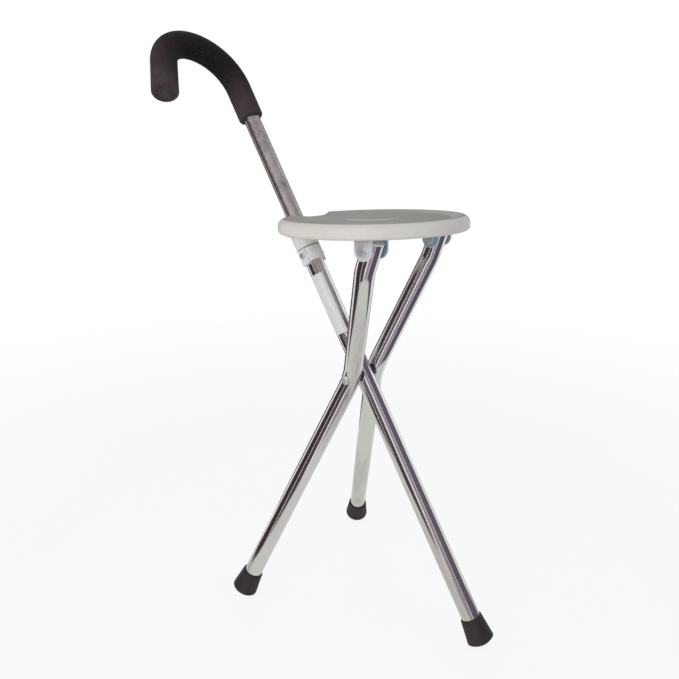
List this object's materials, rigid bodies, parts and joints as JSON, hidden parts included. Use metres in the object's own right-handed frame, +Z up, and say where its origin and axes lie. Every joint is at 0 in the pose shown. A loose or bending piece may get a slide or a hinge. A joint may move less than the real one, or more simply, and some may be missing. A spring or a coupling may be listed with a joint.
{
  "type": "walking stick seat",
  "caption": "Folding walking stick seat: hooked foam-grip stick and splayed tube legs that cross and carry a round plastic seat, which folds up against the stick.",
  "frame": {"origin": "on the ground, below the middle of the whole object as it stands unfolded", "axes": "+Z up; the stick leans in the XZ plane with its foot towards +X and its handle towards -X; the legs mirror each other in that plane and the handle hooks towards -Y"},
  "size_m": [0.4383, 0.2614, 0.6866],
  "materials": {
    "bright_tube": "bright plated tube",
    "brushed_tube": "duller brushed tube",
    "grip_foam": "matt foam",
    "tip_rubber": "matt moulded rubber",
    "seat_plastic": "satin moulded plastic",
    "grey_plastic": "satin moulded plastic",
    "dark_plastic": "matt moulded plastic",
    "plated_steel": "zinc plated",
    "label_film": "satin film"
  },
  "bodies": {
    "stick": {"main_tube": "bright_tube", "crook_tube": "brushed_tube", "foam_grip": "grip_foam", "grip_end_plug": "dark_plastic", "stop_collar": "grey_plastic", "collar_screw": "plated_steel", "collar_nut": "plated_steel", "blank_label": "label_film", "stick_ferrule": "tip_rubber", "stick_ferrule_washer": "plated_steel", "cross_pin": "plated_steel", "cross_pin_cap": "plated_steel", "crossing_spacers": "dark_plastic"},
    "front_leg": {"front_leg_tube": "bright_tube", "front_leg_ferrule": "tip_rubber", "front_leg_ferrule_washer": "plated_steel", "front_leg_top_plug": "grey_plastic"},
    "rear_leg": {"rear_leg_tube": "bright_tube", "rear_leg_ferrule": "tip_rubber", "rear_leg_ferrule_washer": "plated_steel", "rear_leg_top_plug": "grey_plastic"},
    "seat": {"seat_shell": "seat_plastic", "front_bracket": "plated_steel", "rear_bracket": "plated_steel", "bracket_screws": "plated_steel", "pivot_bolts": "plated_steel", "pivot_nuts": "plated_steel"},
    "hub": {"slide_hub": "grey_plastic", "trunnion_pins": "plated_steel"}
  },
  "joints": [
    {"name": "front_leg_fold", "type": "hinge", "parent": "stick", "child": "front_leg", "pos_m": [0.0325, 0, 0.295], "axis": [0, -1, 0], "range_deg": [0, 51]},
    {"name": "rear_leg_fold", "type": "hinge", "parent": "stick", "child": "rear_leg", "pos_m": [0.0325, 0, 0.295], "axis": [0, -1, 0], "range_deg": [0, 51]},
    {"name": "seat_fold", "type": "hinge", "parent": "front_leg", "child": "seat", "pos_m": [0.08889, 0, 0.45601], "axis": [0, 1, 0], "range_deg": [0, 108.3]},
    {"name": "hub_turn", "type": "hinge", "parent": "seat", "child": "hub", "pos_m": [-0.06874, 0, 0.45891], "axis": [0, -1, 0], "range_deg": [0, 57.3]}
  ],
  "couplings": [
    {"joint": "rear_leg_fold", "follows": "front_leg_fold", "ratio": 1},
    {"joint": "seat_fold", "follows": "front_leg_fold", "ratio": 2.1225},
    {"joint": "hub_turn", "follows": "front_leg_fold", "ratio": 1.1225}
  ]
}
